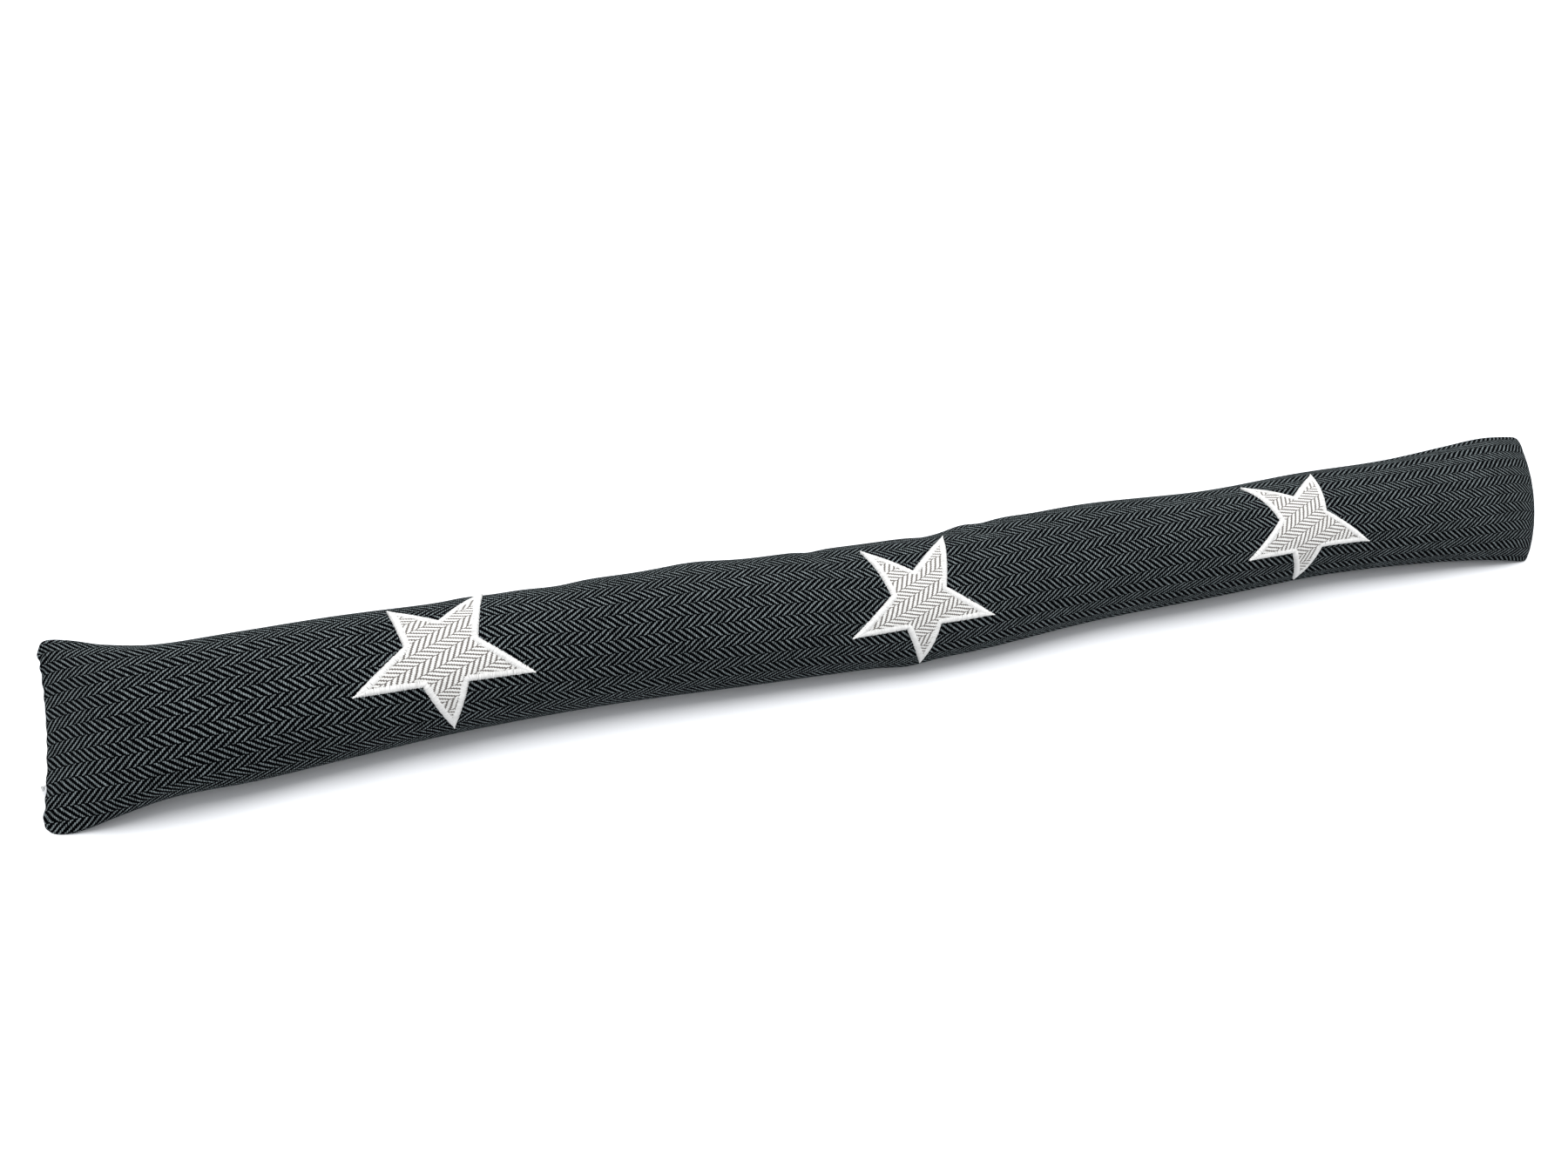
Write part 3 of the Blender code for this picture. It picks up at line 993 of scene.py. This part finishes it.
# %% The stars' outlines
# A star's place along the bag and around it, its turn in degrees, how far in mm its inner corners
# and its tips are from its middle, how far in degrees each tip swings, how far up its cloth a
# band's edge lies, and how coarse its piece is woven.
Star = namedtuple("Star", "name x around turn inner arms swings edge grain")
STARS = [
    Star("star_left", -273, 98, -2, 18, (42, 45, 46, 39, 45), (3, -1.5, 6.5, 1, 1.5), 0.5, 0.97),
    Star("star_middle", -23.5, 109, 1, 17, (40, 45, 49, 43, 44), (0.5, -1.5, 0, -3, 1), 4.8, 1),
    Star("star_right", 235, 106, 1.5, 18.8, (39.5, 51, 45, 45, 46), (-0.5, -1, -1.5, 1, -0.5),
         -2.8, 1.13),
]


def star_outline(star):
    """A star's corners in mm about its middle, from the lowest tip and anticlockwise."""
    corners = []
    for arm, (length, swing) in enumerate(zip(star.arms, star.swings)):
        for radius, half_step, own in ((length, 0, swing), (star.inner, 0.5, 0)):
            turn = star.turn + own
            angle = math.radians(turn - 90 + 360 * (arm + half_step) / len(star.arms))
            corners.append((radius * math.cos(angle), radius * math.sin(angle)))
    return np.array(corners)


def outline_area(outline):
    """The area inside a closed outline."""
    x, y = outline.T
    return abs(float((x * np.roll(y, -1) - y * np.roll(x, -1)).sum())) / 2


for star in STARS:
    print(star.name, "area, mm2:", round(outline_area(star_outline(star))))


# %% Lay points on the cover
SWEEP = np.arange(-156, 157, 3.0)   # degrees around the bag, either way, in which places are sought


def up_the_cloth(x, around, distance):
    """Points of the bag in mm that lie a distance up its surface from an angle around it."""
    sweep = np.radians(around - SWEEP)
    arcs = lengths_so_far(bag_rings(x[:, None], sweep[None, :]), axis=1)
    arcs -= arcs[:, len(sweep) // 2][:, None]
    angle = np.array([np.interp(far, arc, sweep) for far, arc in zip(distance, arcs)])
    return bag_rings(x, angle)


depsgraph = bpy.context.evaluated_depsgraph_get()
cover_surface = BVHTree.FromObject(cover, depsgraph)


def lay_on_cover(star, flat):
    """Places on the cover, in metres, for points of a star in flat mm, and the way out there."""
    form = up_the_cloth(star.x + flat[:, 0], star.around, flat[:, 1])
    found = [cover_surface.find_nearest(Vector(point)) for point in (form + TO_FRAME) * MM]
    spots, outwards, _, _ = zip(*found)
    return np.array(spots), np.array(outwards)


tips = star_outline(STARS[0])[::2]
print("left star's tips, mm:", (lay_on_cover(STARS[0], tips)[0] / MM).round(0).tolist())

# %% [markdown]
# The cloth of a star ends just inside the stitching's outer edge, so that the stitches wrap over
# its cut edge. It is cut into small squares first, as it has to bend both ways over the bag. The
# stars were cut and sewn a little askew: the bands of their cloth climb to the right by 20 degrees,
# and the yarns across them lean.

# %% Cut and lay the stars
STAR_SHARE = 0.972                  # of the outline: the stitches reach past the cloth
STAR_GRID = 1.6                     # mm between the cuts that let it bend
CUT_SLACK = 0.02                    # mm from a corner within which a cut goes through it
STAR_GAP = 0.25                     # mm between the cover and the star's underside
STAR_THICKNESS = 0.7                # mm
BAND_CLIMB = 20.0                   # degrees that the stars' bands climb to the right
YARN_LEAN = -17.0                   # degrees that the yarns across the bands lean


def thickened(piece, thickness, offset):
    """A sheet given its thickness in mm: outwards for an offset of 1, both ways for 0."""
    thick = piece.modifiers.new("thickness", "SOLIDIFY")
    thick.thickness = thickness * MM
    thick.offset = offset
    plain_mesh(piece).shade_smooth()
    return piece


def star_sheet(star):
    """A star of cloth, lying on the cover."""
    outline = star_outline(star) * STAR_SHARE
    form = bmesh.new()
    form.faces.new([form.verts.new((x, y, 0)) for x, y in outline])
    steps = int(max(star.arms) / STAR_GRID)
    for axis in (Vector((1, 0, 0)), Vector((0, 1, 0))):
        for step in range(-steps, steps + 1):
            bmesh.ops.bisect_plane(
                form, geom=form.verts[:] + form.edges[:] + form.faces[:], dist=CUT_SLACK,
                plane_co=axis * step * STAR_GRID, plane_no=axis,
            )
    bmesh.ops.triangulate(form, faces=form.faces)
    flat = np.array([corner.co[:2] for corner in form.verts])
    spots, outwards = lay_on_cover(star, flat)
    for corner, place in zip(form.verts, spots + outwards * STAR_GAP * MM):
        corner.co = place
    # The weave's own measure: turned by the climb, counted from a band's edge, and leaning.
    along, up = math.cos(math.radians(BAND_CLIMB)), math.sin(math.radians(BAND_CLIMB))
    turned = flat @ np.array([[along, -up], [up, along]])
    turned[:, 1] -= star.edge
    turned[:, 0] -= math.tan(math.radians(YARN_LEAN)) * turned[:, 1]
    layer = form.loops.layers.uv.new("cloth")
    form.verts.index_update()
    for face in form.faces:
        for loop in face.loops:
            loop[layer].uv = turned[loop.vert.index] * MM / star.grain
    mesh = bpy.data.meshes.new(star.name + "_cloth")
    form.to_mesh(mesh)
    form.free()
    return thickened(add_object(star.name + "_cloth", mesh), STAR_THICKNESS, 1.0)


star_sheets = [star_sheet(star) for star in STARS]
print("star sheets:", [2 * len(piece.data.polygons) for piece in star_sheets], "triangles")


# %% The stars' finish
STAR_WHITE = Yarn((0.44, 0.437, 0.426, 1), 0.83, {"Fleck": 0.14, "Fibre": 0.2})
GREY_BROWN = Yarn((0.084, 0.076, 0.07, 1), 0.3, {"Fibre": 1.4})

star_finish = herringbone_finish(
    "star_herringbone",
    {"Roughness": 0.85, "Sheen Weight": 0.15, "Sheen Tint": (1, 0.99, 0.97, 1)},
    {
        "Round Yarn Spacing": 0.00086, "Long Yarn Spacing": 0.0007, "Band Yarns": 8.0,
        "Round Yarn Width": 1.35, "Long Yarn Width": 0.85, "Long Yarn Height": 0.74,
        "Float Half Length": 1.55, "Tilt": 0.0, "Unevenness": 0.1, "Hairiness": 0.45,
        "Wander": 1.2,
    },
    change=(0.1, 0.16), pale=STAR_WHITE, dark=GREY_BROWN, fibre_relief=0.2,
)
for piece in star_sheets:
    give_finish(piece, star_finish)
print("star finish:", len(star_finish.node_tree.nodes), "nodes")

# %% [markdown]
# ## Stitches
#
# A satin stitch is a row of threads lying side by side. Each leaves the cover just outside the
# star's edge, arches over the edge and goes down into the star. There are more than three thousand,
# so Geometry Nodes place them: a point for each stitch carries the way across the border, the way
# out from the cloth and the stitch's length, and the tree puts one arched thread on each point.
#
# Towards a tip the two sides meet, so the stitches grow shorter there. At an inner corner they fan
# round the corner and lie closer together.

# %% The stitch tree
HANDLE_PLACE = 0.32                 # of a stitch's length, from its outer end to its arch's handle
THREAD_PARTS = 6                    # straight pieces along a thread
THREAD_SIDES = 5


def stitch_tree():
    """Puts an arched thread on each point, from its attributes across, out and reach."""
    tree, given, result = new_group("GeometryNodeTree", "stitches", {
        "Geometry": "Geometry", "Plain Length": "Float", "Crown": "Float",
        "Far End Height": "Float", "Thread Radius": "Float", "Seed": "Int", "Thread": "Material",
    }, {"Geometry": "Geometry"})
    middle = output(tree, "ShaderNodeCombineXYZ", {
        0: given["Plain Length"] * HANDLE_PLACE, 2: given["Crown"],
    })
    end = output(tree, "ShaderNodeCombineXYZ", {
        0: given["Plain Length"], 2: given["Far End Height"],
    })
    path = output(tree, "GeometryNodeCurveQuadraticBezier", {
        "Resolution": THREAD_PARTS, "Start": (0, 0, 0), "Middle": middle, "End": end,
    })
    section = output(tree, "GeometryNodeCurvePrimitiveCircle", {
        "Resolution": THREAD_SIDES, "Radius": given["Thread Radius"],
    })
    thread = output(tree, "GeometryNodeCurveToMesh", {
        "Curve": path, "Profile Curve": section, "Fill Caps": True,
    })

    def attribute(name, kind):
        """What each point says under a name."""
        return output(tree, "GeometryNodeInputNamedAttribute", {"Name": name}, data_type=kind)

    rotation = output(tree, "FunctionNodeAxesToRotation", {
        0: attribute("out", "FLOAT_VECTOR"), 1: attribute("across", "FLOAT_VECTOR"),
    }, primary_axis="Z", secondary_axis="X")
    stretch = attribute("reach", "FLOAT") / given["Plain Length"]
    size = output(tree, "ShaderNodeCombineXYZ", {0: stretch, 1: 1.0, 2: 1.0})
    placed = output(tree, "GeometryNodeInstanceOnPoints", {
        "Points": given["Geometry"], "Instance": thread, "Rotation": rotation, "Scale": size,
    })
    random = output(
        tree, "FunctionNodeRandomValue", {"Seed": given["Seed"]}, which=1, data_type="FLOAT"
    )
    marked = output(tree, "GeometryNodeStoreNamedAttribute", {
        "Geometry": placed, "Name": "stitch_shade", "Value": random,
    }, data_type="FLOAT", domain="INSTANCE")
    real = output(tree, "GeometryNodeRealizeInstances", {0: marked})
    smooth = output(tree, "GeometryNodeSetShadeSmooth", {0: real})
    finished = output(tree, "GeometryNodeSetMaterial", {
        "Geometry": smooth, "Material": given["Thread"],
    })
    finished.feeds(result["Geometry"])
    return tree


STITCHES = stitch_tree()
print("stitch tree:", len(STITCHES.nodes), "nodes")


# %% Sew with the tree
def sew(name, places, across, out, reach, sizes):
    """A piece made of one thread on each place; lengths are in metres."""
    mesh = bpy.data.meshes.new(name)
    mesh.from_pydata([tuple(place) for place in places], [], [])
    for label, kind, values in (("across", "FLOAT_VECTOR", across), ("out", "FLOAT_VECTOR", out),
                                ("reach", "FLOAT", reach)):
        layer = mesh.attributes.new(label, kind, "POINT")
        field = "value" if kind == "FLOAT" else "vector"
        layer.data.foreach_set(field, np.array(values, np.float32).ravel())
    made = add_object(name, mesh)
    modifier = made.modifiers.new("stitches", "NODES")
    modifier.node_group = STITCHES
    for item in STITCHES.interface.items_tree:
        if item.in_out == "INPUT" and item.name in sizes:
            modifier[item.identifier] = sizes[item.name]
    plain_mesh(made)
    return made


# %% Where the satin stitches go
BORDER_WIDTH = 2.9                  # mm
STITCH_SPACING = 0.31               # mm along the edge; the thread is thicker, so they lie tight
CORNER_SPACING = 0.25               # mm near an inner corner
CORNER_REACH = 3.2                  # mm from an inner corner within which they fan
FIRST_STITCH = 0.1                  # mm from the start of each edge
RAGGED = (-0.1, 0.3)                # mm past the edge, how unevenly they end outside
WIDTH_CHANGE = 0.25                 # mm either way
LEAN_CHANGE = 0.035                 # how unevenly they lean along the edge
SPACING_CHANGE = (0.85, 1.15)       # shares of the spacing
TIP_SHARE = 1.08                    # near a tip, share of the star's own width there
TIP_WIDTH = 0.35                    # mm, at the very tip


def satin_places(star, chance):
    """Both ends of every satin stitch of a star, in flat mm: outer ends and inner ends."""
    outline = star_outline(star)
    outer = []
    inner = []
    for number, (start, end) in enumerate(zip(outline, np.roll(outline, -1, axis=0))):
        tip, corner = (start, end) if number % 2 == 0 else (end, start)
        length = np.linalg.norm(end - start)
        way = (end - start) / length
        inward = np.array([-way[1], way[0]])
        to_middle = -corner / np.linalg.norm(corner)
        lean = abs(float(way @ tip)) / np.linalg.norm(tip)
        slope = math.sqrt(1 - lean**2) / lean
        place = FIRST_STITCH
        while place < length:
            spot = start + way * place
            from_tip = np.linalg.norm(spot - tip)
            from_corner = np.linalg.norm(spot - corner)
            fan = max(0.0, 1 - from_corner / CORNER_REACH)
            across = inward * (1 - fan) + to_middle * fan
            across /= np.linalg.norm(across)
            across = across + way * chance.normal(0, LEAN_CHANGE)
            width = BORDER_WIDTH + chance.uniform(-WIDTH_CHANGE, WIDTH_CHANGE)
            width = min(width, TIP_SHARE * from_tip * slope + TIP_WIDTH)
            outer.append(spot - across * chance.uniform(*RAGGED))
            inner.append(spot + across * width)
            spacing = CORNER_SPACING if fan else STITCH_SPACING
            place += spacing * chance.uniform(*SPACING_CHANGE)
    return np.array(outer), np.array(inner)


# %% White thread
WHITE_THREAD = (0.49, 0.487, 0.48, 1)
TWIST_SCALE = 5200.0                # streaks of 0.2 mm
TWIST_RELIEF = 0.08                 # mm
THREAD_BUMP = 0.6                   # share of that relief that the light shows
STITCH_SHADES = (0.9, 0.16)         # of the colour: the least a stitch has, and what it may add
THREAD_CHANGE = (0.06, 0.1)         # broad and fine change of shade


def thread_finish(name, colour, sheen):
    """Spun thread: each stitch has its own shade, and its twist shows as fine streaks."""
    values = {**SOFT, "Roughness": 0.6, "Sheen Weight": sheen}
    finish, tree, surface = new_finish(name, values)
    place = output(tree, "ShaderNodeTexCoord", which="Object")
    own = output(tree, "ShaderNodeAttribute", which="Fac", attribute_name="stitch_shade")
    shade = (own * STITCH_SHADES[1] + STITCH_SHADES[0]) * uneven_shade(place, *THREAD_CHANGE)
    shaded(colour, shade).feeds(surface.inputs["Base Color"])
    join_bump(surface, noise_value(place, TWIST_SCALE), TWIST_RELIEF * MM, THREAD_BUMP)
    return finish


white_thread = thread_finish("white_thread", WHITE_THREAD, 0.05)
print("thread finish:", len(white_thread.node_tree.nodes), "nodes")

# %% Sew the stars' borders
THREAD_RADIUS = 0.22                # mm
SATIN_CROWN = 2.0                   # mm, the arch's handle: the thread itself rises to 1.25
SATIN_FAR_END = 0.8                 # mm above the cover, where a stitch goes into the star
SATIN_SEED = 11                     # for the first star


def satin_border(star, seed):
    """The satin stitches round a star."""
    outer, inner = satin_places(star, np.random.default_rng(seed))
    spots, out = lay_on_cover(star, outer)
    ends, _ = lay_on_cover(star, inner)
    across = ends - spots
    reach = np.linalg.norm(across, axis=1)
    print(star.name, "satin stitches:", len(reach))
    return sew(star.name + "_border", spots, across / reach[:, None], out, reach, {
        "Plain Length": BORDER_WIDTH * MM, "Crown": SATIN_CROWN * MM,
        "Far End Height": SATIN_FAR_END * MM, "Thread Radius": THREAD_RADIUS * MM,
        "Seed": seed, "Thread": white_thread,
    })


borders = [satin_border(star, SATIN_SEED + number) for number, star in enumerate(STARS)]
print("borders:", [len(piece.data.polygons) for piece in borders], "faces")

# %% [markdown]
# The bag itself is sewn with dark thread. Short stitches lie in the groove of each end seam and
# along the long seam at the back.

# %% Seam stitches
END_STITCH = 2.3                    # mm long
END_STITCH_SPACING = 3.1            # mm
LONG_STITCH = 2.6
LONG_STITCH_SPACING = 3.6
SEAM_CROWN = 0.6                    # mm, handle of these threads' arch, which rises by half of it
END_STANDS = 0.2                    # mm that an end seam's stitches stand out of its groove
LONG_SINKS = 0.1                    # mm that the long seam's stitches sink into theirs
SEAM_SEED = 5
DARK_THREAD = (0.018, 0.02, 0.021, 1)

dark_thread = thread_finish("dark_thread", DARK_THREAD, 0.1)


def along_line(points, spacing, stitch, out):
    """Stitches end to end along a line of points in mm: places, ways, ways out and lengths."""
    arc = lengths_so_far(points)
    starts = np.arange(spacing / 2, arc[-1] - stitch, spacing)
    first, last, outwards = (
        np.stack([np.interp(at, arc, values[:, axis]) for axis in range(3)], axis=1)
        for at, values in ((starts, points), (starts + stitch, points), (starts, out))
    )
    reach = np.linalg.norm(last - first, axis=1)
    return (first + TO_FRAME) * MM, (last - first) / reach[:, None], outwards, reach * MM


def seam_middle(ring):
    """An end's seam line, from its back edge to its front one."""
    return seam_line(ring)[BACK_EDGE:BACK_EDGE + AROUND_STEPS // 2 + 1]


seam_parts = []
for ring, way_out in ((rings[0], -1.0), (rings[-1], 1.0)):
    line = seam_middle(ring)
    out = np.tile(np.array([way_out, 0, 0]), (len(line), 1))
    seam_parts.append(along_line(line + out * END_STANDS, END_STITCH_SPACING, END_STITCH, out))
line = rings[len(GROOVES):-len(GROOVES), 0]
out = ring_normals(rings)[len(GROOVES):-len(GROOVES), 0]
seam_parts.append(along_line(line - out * LONG_SINKS, LONG_STITCH_SPACING, LONG_STITCH, out))
places, across, out, reach = (np.concatenate(column) for column in zip(*seam_parts))
seam_stitches = sew("seam_stitches", places, across, out, reach, {
    "Plain Length": END_STITCH * MM, "Crown": SEAM_CROWN * MM, "Far End Height": 0.0,
    "Thread Radius": THREAD_RADIUS * MM, "Seed": SEAM_SEED, "Thread": dark_thread,
})
print("seam stitches:", len(reach))

# %% [markdown]
# ## The tab
#
# A white ribbon is folded in two and caught in the left end seam. It leaves the seam, turns down
# and shows as a sliver beside the bag. It is blank.

# %% Fold the tab
TAB_ALONG = 32.0                    # mm along the seam
TAB_MIDDLE = -10.0                  # mm from the seam's middle towards its front edge
TAB_THICKNESS = 0.32                # mm, one layer
TAB_PATH = [                        # mm inwards of the seam and up: out, down, and back
    (0.5, 0.28), (-0.8, 0.3), (-1.6, 0.26), (-2.1, 0.02), (-2.32, -0.45), (-2.36, -1.4),
    (-2.34, -2.5), (-2.3, -3.3), (-2.14, -3.68), (-1.84, -3.7), (-1.66, -3.35), (-1.64, -2.4),
    (-1.66, -1.4), (-1.6, -0.72), (-1.3, -0.42), (-0.7, -0.34), (0.5, -0.3),
]
TAB_STEPS = 26
TAB_SWAYS = ((0.12, 4.1), (0.06, 1.7))  # mm to each side, and mm along the seam for a radian
SWAY_DEPTH = 3.0                    # mm below the seam at which the ribbon sways fully


def tab_mesh():
    """The folded ribbon's middle surface, with its flat measure as UV map."""
    line = seam_middle(plain_rings[0])
    back, front = line[0], line[-1]
    way = (back - front) / np.linalg.norm(back - front)
    half_seam = np.linalg.norm(back - front) / 2
    run = lengths_so_far(np.array(TAB_PATH))
    corners = []
    flat = []
    for step in range(TAB_STEPS + 1):
        off = TAB_MIDDLE + TAB_ALONG * (step / TAB_STEPS - 0.5)
        bow = SECTIONS[0].belly * (1 - (off / half_seam) ** 2)
        root = (back + front) / 2 + way * off + np.array([bow, 0, 0])
        sway = sum(size * math.sin(off / reach) for size, reach in TAB_SWAYS)
        for (out, up), far in zip(TAB_PATH, run):
            swing = sway * min(1.0, max(0.0, -up / SWAY_DEPTH))
            corners.append((root + np.array([out + swing, 0, up]) + TO_FRAME) * MM)
            flat.append((off * MM, far * MM))
    count = len(TAB_PATH)
    faces = [
        (step * count + index, (step + 1) * count + index,
         (step + 1) * count + index + 1, step * count + index + 1)
        for step in range(TAB_STEPS) for index in range(count - 1)
    ]
    mesh = bpy.data.meshes.new("tab_ribbon")
    mesh.from_pydata([tuple(corner) for corner in corners], [], faces)
    layer = mesh.uv_layers.new(name="cloth")
    for face in mesh.polygons:
        for loop in face.loop_indices:
            layer.data[loop].uv = flat[mesh.loops[loop].vertex_index]
    return mesh, float(run[-1])


ribbon_mesh, ribbon_length = tab_mesh()
tab = thickened(add_object("tab_ribbon", ribbon_mesh), TAB_THICKNESS, 0.0)
print("tab ribbon, mm:", TAB_ALONG, "by", round(ribbon_length, 1))


# %% The tab's finish
RIBBON_WHITE = (0.84, 0.84, 0.83, 1)
# Ribs along the ribbon and threads across it: axis, mm between them and how far each stands out.
RIBBON_WAVES = (("X", 0.35, 0.5), ("Y", 0.5, 0.3))
RIBBON_RELIEF = 0.06                # mm
RIBBON_BUMP = 0.6                   # share of that relief that the light shows
# Painted shading: the ribs are painted paler where they stand out, by this share.
RIBBON_SHADE = 0.04                 # how much paler it is on a rib
RIBBON_CHANGE = (0.04, 0.08)        # broad and fine change of shade


def ribbon_finish():
    """White satin ribbon: fine ribs along it and a slight gloss."""
    finish, tree, surface = new_finish(
        "white_ribbon", {**SOFT, "Roughness": 0.45, "Sheen Weight": 0.1}
    )
    cloth = output(tree, "ShaderNodeUVMap", uv_map="cloth")
    place = outputs(tree, "ShaderNodeSeparateXYZ", {0: cloth})
    weave = 0.0
    for axis, spacing, share in RIBBON_WAVES:
        weave = calc("SINE", place[axis] * (2 * math.pi / (spacing * MM))) * share + weave
    shade = weave * RIBBON_SHADE + uneven_shade(cloth, *RIBBON_CHANGE)
    shaded(RIBBON_WHITE, shade).feeds(surface.inputs["Base Color"])
    join_bump(surface, weave, RIBBON_RELIEF * MM, RIBBON_BUMP)
    return finish


give_finish(tab, ribbon_finish())
print("tab finish:", tab.data.materials[0].name)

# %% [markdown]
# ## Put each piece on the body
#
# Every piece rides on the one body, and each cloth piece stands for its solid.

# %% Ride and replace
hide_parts("cover")
for star, piece, border in zip(STARS, star_sheets, borders):
    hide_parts(star.name)
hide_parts("label_tab")

slots = {cover: "cover", seam_stitches: "cover", tab: "label_tab"}
slots.update({piece: "star" for piece in (*star_sheets, *borders)})
for piece, slot in slots.items():
    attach(piece, "root")
print("pieces:", len(slots))
